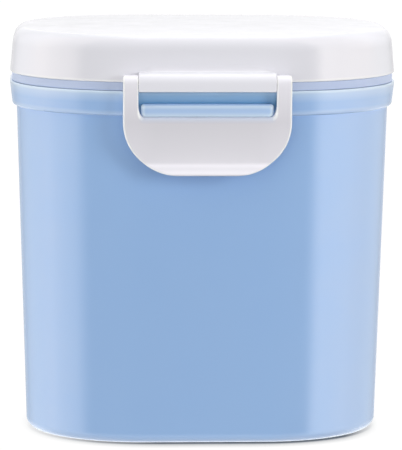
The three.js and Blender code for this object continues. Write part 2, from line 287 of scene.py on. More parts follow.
def moulded(name, colour, shade, gloss, grain=0.0, seed=0.0, depth=None):
    """Moulded plastic: two near tints in soft clouds, a gloss that wanders, and a fine orange-peel skin, with
    a frosted grain over it where one is given. A depth is a function that paints light and shade into the
    tint by the place on the piece."""
    material, wiring, surface = new_material(name)
    still = wiring.node("ShaderNodeTexCoord").outputs["Object"]
    shifted = wiring.node("ShaderNodeMapping", {"Vector": still, "Location": (seed, seed / 2, seed / 3)})
    place = shifted.outputs["Vector"]

    def noise(scale, detail, roughness):
        sizes = {"Vector": place, "Scale": scale, "Detail": detail, "Roughness": roughness}
        return wiring.node("ShaderNodeTexNoise", sizes).outputs["Fac"]

    base = wiring.blend(noise(*CLOUDS), (*colour, 1), (*shade, 1))
    if depth:
        base = depth(wiring, wiring.millimetres(still), base)
    wiring.feed(surface.inputs["Base Color"], base)
    span = {"From Min": SMEAR_SPAN[0], "From Max": SMEAR_SPAN[1], "To Min": gloss[0], "To Max": gloss[1]}
    smears = wiring.node("ShaderNodeMapRange", {"Value": noise(*SMEARS), **span})
    wiring.feed(surface.inputs["Roughness"], smears.outputs["Result"])
    peel = {"Height": noise(*PEEL), "Strength": PEEL_STRENGTH, "Distance": PEEL_HEIGHT}
    normal = wiring.node("ShaderNodeBump", peel).outputs["Normal"]
    if grain:
        frost = {"Height": noise(*GRAIN), "Strength": grain, "Distance": GRAIN_HEIGHT}
        normal = wiring.node("ShaderNodeBump", {**frost, "Normal": normal}).outputs["Normal"]
    wiring.feed(surface.inputs["Normal"], normal)
    surface.inputs["IOR"].default_value = PLASTIC_IOR
    return material


# Painted highlights on the collar by height: a little on its lower edge, and the most on its upper edge
COLLAR_PAINTED_HIGHLIGHT = [
    (111, 0),
    (111.6, 0.2),
    (112.4, 0.2),
    (113.3, 0),
    (115.5, 0),
    (118.3, 0.4),
    (119.2, 0.9),
]
# Painted highlights on the catch bar by height: more on its lower edge and its upper round than on the face
# between
CATCH_PAINTED_HIGHLIGHT = [(111.4, 1), (113, 0.3), (113.7, 0.3), (114.8, 0.75), (115.5, 0.2)]
# Painted highlight on its ends, by the distance from the middle
CATCH_END_PAINTED_HIGHLIGHT = [(20.2, 0), (20.9, 0.4), (21.7, 0.4)]
# How light the painted shade on the collar's face in the latch's window is, from the catch bar up to the seal
RECESS_SHADE_LIGHTNESS = [(113, 1), (115, 0), (115.5, 0), (118, 0.6), (118.6, 1)]
# Share of the latch's tint by height: painted highlights near the lip's edge and its crease, and painted
# shade greyest under the window
LATCH_PAINTED_LIGHT = [
    (92.4, 0.9),
    (93.4, 1.1),
    (94.6, 1),
    (95.7, 1.1),
    (96.6, 0.98),
    (110, 0.87),
    (124, 1.04),
]
# The same by the distance from the middle: the arms are whiter than the plate between them
ARM_TONE = [(17, 1), (23.5, 1.04)]
# Painted blue light from the catch bar on the sill of the latch's window, by height
SILL_PAINTED_BOUNCE = [(109.3, 0), (110.3, 0.42), (110.9, 0.66), (111.5, 0.6)]
# Where the latch's window ends, by the distance from the middle
WINDOW_EDGE = [(21.2, 1), (22.6, 0)]
# Where the tub counts as within the latch, by the same distance
WITHIN_LATCH = [(23.2, 1), (26.5, 0)]
# Where the painted shade on the collar's face in the window begins, by height
RECESS_SHADE_START = [(112, 0), (113.5, 1)]
# From how far in front of the rim's outline the catch bar and the hinge bar get their own painted light, and
# to how far behind that outline the collar's face in the window is, which gets painted shade
BAR_START = 0.25
RECESS_DEPTH = 1.5
# Colours of painted light: the highlights on the tub, the shade in the window's recess from deepest to
# lightest, the blue light on the latch's sill, and the white highlights on edges
PAINTED_HIGHLIGHT_BLUE = (0.74, 0.87, 1, 1)
RECESS_DEEPEST_SHADE = (0.15, 0.35, 0.6, 1)
RECESS_LIGHTER_SHADE = (0.37, 0.575, 0.8, 1)
SILL_BOUNCE_BLUE = (0.58, 0.65, 0.81, 1)
PAINTED_HIGHLIGHT_WHITE = (1, 1, 1, 1)
# Share of the lid's tint by depth: the hinge bar in front of it is painted brighter, a painted light on its
# face and top
BAR_PAINTED_LIGHT = [(FRONT - 1.2, 1.1), (FRONT - 0.2, 1)]
# Painted white highlight on the lid's lower edge, by height
RIM_PAINTED_HIGHLIGHT = [(122.3, 1), (122.8, 0.8), (123.5, 0), (124, 0)]
# Share of the lid's tint by the distance from the middle: its round ends are painted brighter, a painted
# light
LID_END_PAINTED_LIGHT = [(44, 1), (64, 1.1)]


def tub_painted_light(wiring, place, base):
    """The collar's edges and the catch bar carry painted highlights, and the collar's face in the window
    carries painted shade.
    """
    width = wiring.math("ABSOLUTE", place["X"])
    inside = wiring.graph(width, WITHIN_LATCH)
    beside = wiring.math("SUBTRACT", 1, inside)
    ahead = wiring.math("LESS_THAN", place["Y"], FRONT - BAR_START)
    behind = wiring.math("LESS_THAN", place["Y"], FRONT + RECESS_DEPTH)
    behind = wiring.math("MULTIPLY", wiring.math("SUBTRACT", behind, ahead), inside)
    collar = wiring.math("MULTIPLY", wiring.graph(place["Z"], COLLAR_PAINTED_HIGHLIGHT), beside)
    bar = wiring.graph(place["Z"], CATCH_PAINTED_HIGHLIGHT)
    bar_end = wiring.graph(width, CATCH_END_PAINTED_HIGHLIGHT)
    catch = wiring.math("MULTIPLY", wiring.math("ADD", bar, bar_end), wiring.math("MULTIPLY", ahead, inside))
    pale = wiring.blend(wiring.math("ADD", collar, catch), base, PAINTED_HIGHLIGHT_BLUE)
    recess_shade = wiring.math("MULTIPLY", behind, wiring.graph(place["Z"], RECESS_SHADE_START))
    shaded = wiring.blend(wiring.graph(place["Z"], RECESS_SHADE_LIGHTNESS), RECESS_DEEPEST_SHADE, RECESS_LIGHTER_SHADE)
    return wiring.blend(recess_shade, pale, shaded)


def lid_painted_light(wiring, place, base):
    """The hinge bar and the round ends are painted brighter, and the lower edge has a painted white
    highlight.
    """
    toned = wiring.toned(base, wiring.graph(place["Y"], BAR_PAINTED_LIGHT))
    toned = wiring.toned(toned, wiring.graph(wiring.math("ABSOLUTE", place["X"]), LID_END_PAINTED_LIGHT))
    beside = wiring.math("GREATER_THAN", place["Y"], FRONT - BAR_START)
    rim_highlight = wiring.math("MULTIPLY", wiring.graph(place["Z"], RIM_PAINTED_HIGHLIGHT), beside)
    return wiring.blend(rim_highlight, toned, PAINTED_HIGHLIGHT_WHITE)


def latch_painted_light(wiring, place, base):
    """The plate has painted highlights along the lip and painted shade under the window, its rounded edges
    have a painted white highlight, and the window's sill has painted blue light from the catch bar.
    """
    width = wiring.math("ABSOLUTE", place["X"])
    toned = wiring.toned(base, wiring.graph(place["Z"], LATCH_PAINTED_LIGHT))
    toned = wiring.toned(toned, wiring.graph(width, ARM_TONE))
    inside = wiring.graph(width, WINDOW_EDGE)
    sill = wiring.math("MULTIPLY", wiring.graph(place["Z"], SILL_PAINTED_BOUNCE), inside)
    # The edge attribute gives the share of the painted white highlight on the latch's rounded edges
    edge = wiring.node("ShaderNodeAttribute", attribute_name="edge").outputs["Fac"]
    return wiring.blend(sill, wiring.blend(edge, toned, PAINTED_HIGHLIGHT_WHITE), SILL_BOUNCE_BLUE)


BLUE_PLASTIC = moulded(
    "blue_plastic",
    colour=(0.342, 0.548, 0.896),
    shade=(0.353, 0.556, 0.887),
    gloss=(0.15, 0.22),
    depth=tub_painted_light,
)
WHITE_PLASTIC = moulded(
    "white_plastic",
    colour=(0.846, 0.84, 0.899),
    shade=(0.838, 0.838, 0.89),
    gloss=(0.12, 0.18),
    seed=0.31,
    depth=lid_painted_light,
)
LATCH_PLASTIC = moulded(
    "latch_plastic",
    colour=(0.9, 0.88, 0.94),
    shade=(0.89, 0.878, 0.93),
    gloss=(0.14, 0.21),
    seed=0.57,
    depth=latch_painted_light,
)
SEAL_SILICONE = moulded(
    "seal_silicone",
    colour=(0.48, 0.57, 0.79),
    shade=(0.57, 0.66, 0.85),
    gloss=(0.4, 0.52),
    grain=0.35,
    seed=0.83,
)


# Outlines


def smooth_step(share):
    """Eases a share in and out, and holds it between 0 and 1."""
    share = min(max(share, 0), 1)
    return share * share * (3 - 2 * share)


def quarter_turns(steps):
    return [QUARTER * i / steps for i in range(steps + 1)]


def arc(centre, radius, start, end, steps):
    """Points on a circle, or on an ellipse where the radius is a pair, between two angles in degrees."""
    across, along = radius if isinstance(radius, tuple) else (radius, radius)
    angles = [math.radians(start + (end - start) * i / steps) for i in range(steps + 1)]
    return [(centre[0] + across * math.cos(a), centre[1] + along * math.sin(a)) for a in angles]


def between(start, end, spacing, support=SUPPORT):
    """Points inside a straight edge: one close to each end, and the others evenly spaced."""
    start, end = Vector(start), Vector(end)
    length = (end - start).length
    steps = max(1, round((length - 2 * support) / spacing))
    shares = [(support + (length - 2 * support) * i / steps) / length for i in range(steps + 1)]
    return [tuple(start.lerp(end, share)) for share in shares]


def drawn_in(outline, distance):
    """An anticlockwise outline moved inwards by a distance."""
    moved = []
    for i, point in enumerate(outline):
        here = Vector(point)
        arriving = (here - Vector(outline[i - 1])).normalized()
        leaving = (Vector(outline[(i + 1) % len(outline)]) - here).normalized()
        along = (arriving + leaving).normalized()
        inward = Vector((-along.y, along.x))
        moved.append(tuple(here + inward * distance / along.dot(arriving)))
    return moved


# Solids


def outward(mesh):
    """Turns a closed mesh's faces outwards, once its doubles are merged."""
    shell = bmesh.new()
    shell.from_mesh(mesh)
    bmesh.ops.remove_doubles(shell, verts=shell.verts, dist=MERGE_DISTANCE)
    bmesh.ops.dissolve_degenerate(shell, edges=shell.edges, dist=SHORTEST_EDGE)
    if shell.calc_volume(signed=True) < 0:
        bmesh.ops.reverse_faces(shell, faces=shell.faces)
    shell.to_mesh(mesh)
    shell.free()
    return mesh


def skinned(rings):
    """A closed solid through rings of equally many points, in millimetres."""
    shell = bmesh.new()
    loops = [[shell.verts.new(Vector(point) * MM) for point in ring] for ring in rings]
    for lower, upper in zip(loops, loops[1:]):
        for i in range(len(lower)):
            shell.faces.new((lower[i - 1], lower[i], upper[i], upper[i - 1]))
    shell.faces.new(loops[0][::-1])
    shell.faces.new(loops[-1])
    mesh = bpy.data.meshes.new("solid")
    shell.to_mesh(mesh)
    shell.free()
    return outward(mesh)


def across(outline, low, high, end_round, steps=4):
    """An outline drawn as (y, z), carried along X from low to high, with both end edges rounded."""
    turns = quarter_turns(steps)
    lower = [(low + end_round * (1 - math.sin(t)), end_round * (1 - math.cos(t))) for t in reversed(turns)]
    upper = [(high - end_round * (1 - math.sin(t)), end_round * (1 - math.cos(t))) for t in turns]
    rings = [(x, drawn_in(outline, inset)) for x, inset in lower + upper]
    return skinned([[(x, y, z) for y, z in ring] for x, ring in rings])


def pin(radius, low, high, y, z, chamfer=0.25):
    """A round pin along X with chamfered ends."""
    turns = [2 * math.pi * i / PIN_SIDES for i in range(PIN_SIDES)]
    end = radius - chamfer
    rings = [(low, end), (low + chamfer, radius), (high - chamfer, radius), (high, end)]
    return skinned([[(x, y + r * math.cos(t), z + r * math.sin(t)) for t in turns] for x, r in rings])


def evaluated_mesh(thing):
    view = bpy.context.evaluated_depsgraph_get()
    return bpy.data.meshes.new_from_object(thing.evaluated_get(view))


def linked(name, mesh):
    thing = bpy.data.objects.new(name, mesh)
    bpy.context.scene.collection.objects.link(thing)
    return thing


def fused(base, joined=(), cut=()):
    """One closed mesh of a base, what is joined to it and what is cut out of it."""
    body = linked("fusing", base)
    tools = []
    for operation, meshes in (("UNION", joined), ("DIFFERENCE", cut)):
        for mesh in meshes:
            tool = linked("tool", mesh)
            step = body.modifiers.new(operation, "BOOLEAN")
            step.operation = operation
            step.solver = "MANIFOLD"
            step.object = tool
            tools.append(tool)
    mesh = evaluated_mesh(body)
    for thing in (body, *tools):
        bpy.data.objects.remove(thing)
    return outward(mesh)


def piece(name, mesh, node, material):
    """Hands a finished mesh in as the piece that stands for a CAD node."""
    mesh.materials.clear()
    mesh.materials.append(material)
    for face in mesh.polygons:
        face.material_index = 0
        face.use_smooth = True
    mesh.set_sharp_from_angle(angle=SHARP_ANGLE)
    mesh.name = name
    thing = linked(name, mesh)
    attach(thing, "root")
    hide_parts(node)


def corner_points(centre, radius, start, end, steps, rounds, holds=(1, 1)):
    """A corner of a front view's outline as (point, outward normal, front edge's round, hold).
    An edge with no hold keeps its place, as where the latch's arms end in their own round top."""
    wide, tall = radius
    hollow = end < start
    points = []
    for i in range(steps + 1):
        share = i / steps
        angle = math.radians(start + (end - start) * share)
        normal = Vector((math.cos(angle) / wide, math.sin(angle) / tall)).normalized()
        point = Vector((centre[0] + wide * math.cos(angle), centre[1] + tall * math.sin(angle)))
        edge_round = rounds[0] + (rounds[1] - rounds[0]) * smooth_step(share)
        hold = holds[0] + (holds[1] - holds[0]) * share
        points.append((point, -normal if hollow else normal, edge_round, hold))
    return points


def mirrored(right):
    """The left half of an outline that starts at the bottom and is drawn along its right half first."""
    return [
        (Vector((-point.x, point.y)), Vector((-normal.x, normal.y)), edge_round, hold)
        for point, normal, edge_round, hold in reversed(right)
    ]


def flat_ring(outline, inset, y):
    """The outline drawn in by a plain inset, or by one for each point, and standing at y."""
    insets = inset if isinstance(inset, list) else [inset] * len(outline)
    flat = [point - normal * drawn * hold for (point, normal, _, hold), drawn in zip(outline, insets)]
    return [(point.x, y, point.y) for point in flat]


# Mouldings: an edge profile carried round the plan outline


def moulding_tree():
    """Carries the profile's points, drawn as (inset, 0, z), round a rectangle with elliptical corners."""
    tree = bpy.data.node_groups.new("moulding_round_the_plan", "GeometryNodeTree")
    sockets = tree.interface
    sockets.new_socket("Profile", in_out="INPUT", socket_type="NodeSocketGeometry")
    for name in ("Straight Half Width", "Straight Half Depth", "Corner Width", "Corner Depth"):
        sockets.new_socket(name, in_out="INPUT", socket_type="NodeSocketFloat")
    sockets.new_socket("Quarter Steps", in_out="INPUT", socket_type="NodeSocketInt")
    sockets.new_socket("Finish", in_out="INPUT", socket_type="NodeSocketMaterial")
    sockets.new_socket("Moulding", in_out="OUTPUT", socket_type="NodeSocketGeometry")
    wiring = Wiring(tree)
    sizes = wiring.node("NodeGroupInput").outputs
    steps = sizes["Quarter Steps"]

    counted = wiring.node("GeometryNodeAttributeDomainSize", {"Geometry": sizes["Profile"]})
    rows = counted.outputs["Point Count"]
    quarter_columns = wiring.math("ADD", steps, 1)
    columns = wiring.math("MULTIPLY", quarter_columns, 4)
    sheet = wiring.node(
        "GeometryNodeMeshGrid",
        {"Size X": 1, "Size Y": 1, "Vertices X": wiring.math("ADD", columns, 1), "Vertices Y": rows},
    )

    index = wiring.node("GeometryNodeInputIndex").outputs[0]
    column = wiring.math("FLOOR", wiring.math("DIVIDE", wiring.math("ADD", index, 0.5), rows))
    row = wiring.math("SUBTRACT", index, wiring.math("MULTIPLY", column, rows))
    wrapped = wiring.math("FLOORED_MODULO", column, columns)
    corner = wiring.math("FLOOR", wiring.math("DIVIDE", wiring.math("ADD", wrapped, 0.5), quarter_columns))
    step = wiring.math("SUBTRACT", wrapped, wiring.math("MULTIPLY", corner, quarter_columns))
    turn = wiring.math("ADD", corner, wiring.math("DIVIDE", step, steps))
    angle = wiring.math("MULTIPLY", turn, QUARTER)
    middle = wiring.math("MULTIPLY", wiring.math("ADD", corner, 0.5), QUARTER)

    point = wiring.node("GeometryNodeSampleIndex", data_type="FLOAT_VECTOR", domain="POINT")
    wiring.feed(point.inputs["Geometry"], sizes["Profile"])
    wiring.feed(point.inputs["Value"], wiring.node("GeometryNodeInputPosition").outputs[0])
    wiring.feed(point.inputs["Index"], row)
    profile = wiring.node("ShaderNodeSeparateXYZ", {"Vector": point.outputs["Value"]}).outputs
    inset = profile["X"]

    def drawn(corner_size, straight_half, turned):
        left = wiring.math("MAXIMUM", wiring.math("SUBTRACT", corner_size, inset), 0)
        reach = wiring.math("SUBTRACT", wiring.math("ADD", straight_half, corner_size), inset)
        straight = wiring.math("MINIMUM", straight_half, wiring.math("MAXIMUM", reach, 0))
        side = wiring.math("SIGN", wiring.math(turned, middle))
        return wiring.math(
            "ADD",
            wiring.math("MULTIPLY", side, straight),
            wiring.math("MULTIPLY", wiring.math(turned, angle), left),
        )

    place = wiring.node(
        "ShaderNodeCombineXYZ",
        {
            "X": drawn(sizes["Corner Width"], sizes["Straight Half Width"], "COSINE"),
            "Y": drawn(sizes["Corner Depth"], sizes["Straight Half Depth"], "SINE"),
            "Z": profile["Z"],
        },
    )
    placed = wiring.node(
        "GeometryNodeSetPosition", {"Geometry": sheet.outputs["Mesh"], "Position": place.outputs[0]}
    )
    closed = wiring.node(
        "GeometryNodeMergeByDistance", {"Geometry": placed.outputs[0], "Distance": MERGE_DISTANCE}
    )
    smooth = wiring.node("GeometryNodeSetShadeSmooth", {"Geometry": closed.outputs[0]})
    real = wiring.node("GeometryNodeRealizeInstances", {"Geometry": smooth.outputs[0]})
    finished = wiring.node(
        "GeometryNodeSetMaterial", {"Geometry": real.outputs[0], "Material": sizes["Finish"]}
    )
    wiring.feed(wiring.node("NodeGroupOutput").inputs[0], finished.outputs[0])
    return tree


MOULDING_TREE = moulding_tree()


def moulding(profile, material):
    """A closed moulding whose edge profile is drawn as (inset, z), from its underside to its top."""
    line = bpy.data.meshes.new("profile")
    points = [(inset * MM, 0, z * MM) for inset, z in profile]
    line.from_pydata(points, [(i, i + 1) for i in range(len(points) - 1)], [])
    body = linked("profile", line)
    step = body.modifiers.new("moulding", "NODES")
    step.node_group = MOULDING_TREE
    sizes = {
        "Straight Half Width": (RIM_WIDTH / 2 - CORNER_WIDTH) * MM,
        "Straight Half Depth": (RIM_DEPTH / 2 - CORNER_DEPTH) * MM,
        "Corner Width": CORNER_WIDTH * MM,
        "Corner Depth": CORNER_DEPTH * MM,
        "Quarter Steps": PLAN_STEPS,
        "Finish": material,
    }
    for socket in MOULDING_TREE.interface.items_tree:
        if socket.item_type == "SOCKET" and socket.name in sizes:
            step[socket.identifier] = sizes[socket.name]
    mesh = evaluated_mesh(body)
    body.modifiers.remove(step)
    bpy.data.objects.remove(body)
    return outward(mesh)


def level_face(height, outer):
    """The points of a flat underside or top, from the edge's end to the middle."""
    return [(outer + SUPPORT, height), *((inset, height) for inset in LEVEL_INSETS)]


# Tub


def tub_profile():
    rise = BASE_INSET + BASE_EDGE_RADIUS
    slope = (BASE_INSET - NECK_INSET) / (COLLAR_BOTTOM - BASE_EDGE_RADIUS)
    neck = (NECK_INSET + slope * NECK_FILLET, COLLAR_BOTTOM - NECK_FILLET)
    lower = (COLLAR_FACE_INSET + COLLAR_UNDERSIDE_RADIUS, COLLAR_BOTTOM + COLLAR_UNDERSIDE_RADIUS)
    upper = (COLLAR_TOP_INSET + COLLAR_EDGE_RADIUS, COLLAR_TOP - COLLAR_EDGE_RADIUS)
    return [
        *level_face(0, rise)[::-1],
        *arc((rise, BASE_EDGE_RADIUS), BASE_EDGE_RADIUS, -90, -180, 10),
        *between((BASE_INSET, BASE_EDGE_RADIUS), neck, 5),
        *arc((neck[0] - NECK_FILLET, neck[1]), NECK_FILLET, 0, 90, 5)[:-1],
        *arc(lower, COLLAR_UNDERSIDE_RADIUS, -90, -180, 6),
        *between((COLLAR_FACE_INSET, lower[1]), (COLLAR_TOP_INSET, upper[1]), 1.5),
        *arc(upper, COLLAR_EDGE_RADIUS, 180, 90, 8),
        *level_face(COLLAR_TOP, upper[0]),
    ]


def catch_bar():
    """A bar on the collar's face with a wide round along its upper front edge."""
    half = CATCH_WIDTH / 2
    upper = (CATCH_CORNER_WIDTH, CATCH_UPPER_CORNER)
    lower = (CATCH_CORNER_WIDTH, CATCH_LOWER_CORNER)
    inner = half - CATCH_CORNER_WIDTH
    over, under, end = CATCH_UPPER_ROUND, CATCH_LOWER_ROUND, CATCH_END_ROUND
    right = [
        *corner_points((inner, CATCH_BOTTOM + lower[1]), lower, -90, 0, 8, (under, end)),
        *corner_points((inner, CATCH_TOP - upper[1]), upper, 0, 90, 8, (end, over)),
    ]
    outline = right + mirrored(right)
    nose = FRONT - CATCH_FORWARD
    rings = [flat_ring(outline, 0, FRONT + EMBED)]
    for turn in quarter_turns(8):
        ring = []
        for point, normal, edge_round, _ in outline:
            moved = point - normal * edge_round * (1 - math.cos(turn))
            ring.append((moved.x, nose + edge_round * (1 - math.sin(turn)), moved.y))
        rings.append(ring)
    return skinned(rings)


def touch_angle(height):
    """Where round the rear hinge's barrel a straight line from the back at this height touches it."""
    rise = height - HINGE_HEIGHT
    swing = math.acos(HINGE_RADIUS / math.hypot(HINGE_BACK, rise))
    return math.degrees(math.atan2(rise, -HINGE_BACK) - math.copysign(swing, rise))


def knuckle():
    axis = BACK + HINGE_BACK
    top = COLLAR_TOP - COLLAR_EDGE_RADIUS
    outline = [
        (BACK - EMBED, KNUCKLE_ROOT),
        (BACK, KNUCKLE_ROOT),
        *arc((axis, HINGE_HEIGHT), HINGE_RADIUS, touch_angle(KNUCKLE_ROOT), 180, 20),
        (axis - HINGE_RADIUS, top),
        (BACK - EMBED, top),
    ]
    return across(outline, -KNUCKLE_WIDTH / 2, KNUCKLE_WIDTH / 2, HINGE_END_ROUND)


def tub_body():
    reach = KNUCKLE_WIDTH / 2 + HINGE_PIN_LENGTH
    hinge_pin = pin(HINGE_PIN_RADIUS, -reach, reach, BACK + HINGE_BACK, HINGE_HEIGHT)
    body = moulding(tub_profile(), BLUE_PLASTIC)
    return fused(body, [catch_bar(), knuckle(), hinge_pin])


# Seal band


def seal_ring():
    bottom = COLLAR_TOP + SEAL_GAP_BELOW
    top = RIM_BOTTOM - SEAL_GAP_ABOVE
    inner = SEAL_INSET + SEAL_EDGE_RADIUS
    profile = [
        *level_face(bottom, inner)[::-1],
        *arc((inner, bottom + SEAL_EDGE_RADIUS), SEAL_EDGE_RADIUS, -90, -180, 4),
        *arc((inner, top - SEAL_EDGE_RADIUS), SEAL_EDGE_RADIUS, 180, 90, 4),
        *level_face(top, inner),
    ]
    return moulding(profile, SEAL_SILICONE)


# Lid


def lid_profile():
    """The sides lean in to an elliptical shoulder, and the top rises in a low crown to the middle."""
    radius = LID_LOWER_RADIUS
    shoulder_inset = LID_DRAFT + LID_SHOULDER_WIDTH
    shoulder_top = TOTAL_HEIGHT - LID_CROWN
    centre = (shoulder_inset, shoulder_top - LID_SHOULDER_HEIGHT)
    size = (LID_SHOULDER_WIDTH, LID_SHOULDER_HEIGHT)
    lean = LID_DRAFT / (centre[1] - RIM_BOTTOM - radius)
    first = math.degrees(math.atan(lean * LID_SHOULDER_HEIGHT / LID_SHOULDER_WIDTH))
    shoulder = arc(centre, size, 180 - first, 91, 20)
    rise = BACK - shoulder_inset
    return [
        *level_face(RIM_BOTTOM, radius)[::-1],
        *arc((radius, RIM_BOTTOM + radius), radius, -90, -180, 7),
        *between((0, RIM_BOTTOM + radius), shoulder[0], 1.4),
        *shoulder,
        *((inset, TOTAL_HEIGHT - LID_CROWN * ((BACK - inset) / rise) ** 2) for inset in CROWN_INSETS),
    ]


def hinge_bar():
    """The bar hangs from the lid between the latch's arms, in front of the seal band."""
    front = FRONT - LATCH_FRONT
    back = FRONT - ARM_BACK
    outline = [
        (FRONT + EMBED, RIM_BOTTOM + LID_LOWER_RADIUS),
        (FRONT + EMBED, BAR_TOP),
        *arc((front + BAR_TOP_RADIUS, BAR_TOP - BAR_TOP_RADIUS), BAR_TOP_RADIUS, 90, 180, 10),
        *arc((front + BAR_LOWER_RADIUS, BAR_BOTTOM + BAR_LOWER_RADIUS), BAR_LOWER_RADIUS, 180, 270, 5),
        (back, BAR_BOTTOM),
        (back, RIM_BOTTOM + LID_LOWER_RADIUS / 2),
    ]
    return across(outline, -BAR_HALF_WIDTH, BAR_HALF_WIDTH, BAR_END_ROUND)


def bar_fillet():
    """The hollow round between the bar's top and the lid's face, which runs out towards both ends."""
    end = BAR_HALF_WIDTH - BAR_END_ROUND
    root = BAR_TOP - BAR_FILLET_ROOT
    face = FRONT + LID_DRAFT / 2
    steps = [end - BAR_FILLET_RUN_OUT * i / 10 for i in range(11)]
    rings = []
    for x in [-step for step in steps] + steps[::-1]:
        left = smooth_step((end - abs(x)) / BAR_FILLET_RUN_OUT)
        share = BAR_FILLET_LEFT_AT_END + (1 - BAR_FILLET_LEFT_AT_END) * left
        depth, height = BAR_FILLET_DEPTH * share, BAR_FILLET_HEIGHT * share
        middle = (face - depth, BAR_TOP + height - BAR_FILLET_SINK)
        outline = [
            (face - depth, root),
            (FRONT + EMBED, root),
            (FRONT + EMBED, middle[1]),
            *arc(middle, (depth, height), 0, -90, 10),
        ]
        rings.append([(x, y, z) for y, z in outline])
    return skinned(rings)


def lug(side):
    axis = BACK + HINGE_BACK
    outline = [
        (BACK - EMBED, LUG_ROOT),
        (BACK - EMBED, RIM_BOTTOM + LID_LOWER_RADIUS),
        (axis - HINGE_RADIUS, RIM_BOTTOM + LID_LOWER_RADIUS / 2),
        *arc((axis, HINGE_HEIGHT), HINGE_RADIUS, 180, 360 + touch_angle(LUG_ROOT), 20),
        (BACK, LUG_ROOT),
    ]
    start = KNUCKLE_WIDTH / 2 + LUG_GAP
    low, high = sorted((side * start, side * (start + LUG_WIDTH)))
    return across(outline, low, high, HINGE_END_ROUND)


def lid_cover():
    socket_start = KNUCKLE_WIDTH / 2 + LUG_GAP
    socket_end = socket_start + HINGE_PIN_LENGTH + BORE_PLAY
    bores = []
    for side in (-1, 1):
        low, high = sorted((side * (BAR_HALF_WIDTH - PIVOT_LENGTH), side * (BAR_HALF_WIDTH + EMBED)))
        bores.append(pin(PIVOT_RADIUS + BORE_PLAY, low, high, FRONT - PIVOT_FORWARD, PIVOT_HEIGHT))
        low, high = sorted((side * (socket_start - EMBED), side * socket_end))
        bores.append(pin(HINGE_PIN_RADIUS + BORE_PLAY, low, high, BACK + HINGE_BACK, HINGE_HEIGHT))
    body = moulding(lid_profile(), WHITE_PLASTIC)
    return fused(body, [hinge_bar(), bar_fillet(), lug(-1), lug(1)], bores)


# Latch


def latch_outline():
    """The U in the front view: two arms beside the window, and a plate with wide lower corners."""
    half = LATCH_WIDTH / 2
    inner = half - ARM_WIDTH
    corner = (LATCH_CORNER_WIDTH, LATCH_CORNER_HEIGHT)
    window = (WINDOW_CORNER_WIDTH, WINDOW_CORNER_HEIGHT)
    outer_end = (ARM_OUTER_CORNER, ARM_OUTER_CORNER)
    inner_end = (ARM_INNER_CORNER, ARM_INNER_CORNER)
    edge, inside, sill = LATCH_OUTER_ROUND, LATCH_INNER_ROUND, WINDOW_SILL_ROUND
    low = LATCH_BOTTOM + corner[1]
    outer_top = LATCH_TOP - outer_end[1]
    inner_top = LATCH_TOP - inner_end[1]
    sill_top = WINDOW_BOTTOM + window[1]
    right = [
        *corner_points((half - corner[0], low), corner, -90, 0, 24, (edge, edge)),
        *corner_points((half - outer_end[0], outer_top), outer_end, 0, 90, 8, (edge, edge), (1, 0)),
        *corner_points((inner + inner_end[0], inner_top), inner_end, 90, 180, 8, (inside, inside), (0, 1)),
        *corner_points((inner - window[0], sill_top), window, 0, -90, 14, (inside, sill)),
    ]
    return right + mirrored(right)


def latch_front(z):
    """The Y of the latch's front face: round over the arms' tops, flat, and flared out at the lip."""
    middle = LATCH_TOP - ARM_FRONT_RADIUS
    if z > middle:
        rise = min(z - middle, ARM_FRONT_RADIUS)
        return FRONT - LATCH_FRONT + ARM_FRONT_RADIUS - math.sqrt(ARM_FRONT_RADIUS**2 - rise**2)
    fall = LIP_CREASE - z
    slope = LIP_FLARE / (LIP_CREASE - LATCH_BOTTOM - LIP_EDGE)
    if fall <= -LIP_BEND:
        out = 0
    elif fall < LIP_BEND:
        out = slope * (fall + LIP_BEND) ** 2 / (4 * LIP_BEND)
    else:
        out = slope * fall
    return FRONT - LATCH_FRONT - min(out, LIP_FLARE)


def latch_back(z):
    """The Y of the latch's back: deep arms, a thinner plate below the collar, and the lip."""
    middle = LATCH_TOP - ARM_BACK_RADIUS
    if z > middle:
        rise = min(z - middle, ARM_BACK_RADIUS)
        return FRONT - ARM_BACK - ARM_BACK_RADIUS + math.sqrt(ARM_BACK_RADIUS**2 - rise**2)
    step = smooth_step((COLLAR_BOTTOM - z) / PLATE_BACK)
    lean = LIP_FLARE * min(max((LIP_CREASE + LIP_EDGE - z) / (LIP_CREASE - LATCH_BOTTOM), 0), 1)
    return FRONT - ARM_BACK - (PLATE_BACK - ARM_BACK) * step - lean


def catch_pocket():
    """What is cut out behind the window's sill, where the catch bar sits."""
    half = CATCH_WIDTH / 2 + CATCH_PLAY
    front = FRONT - LATCH_FRONT + SILL_THICKNESS
    floor = CATCH_BOTTOM - CATCH_PLAY
    top = CATCH_TOP + CATCH_PLAY
    outline = [(front, floor), (FRONT + EMBED, floor), (FRONT + EMBED, top), (front, top)]
    return skinned([[(x, y, z) for y, z in outline] for x in (-half, half)])


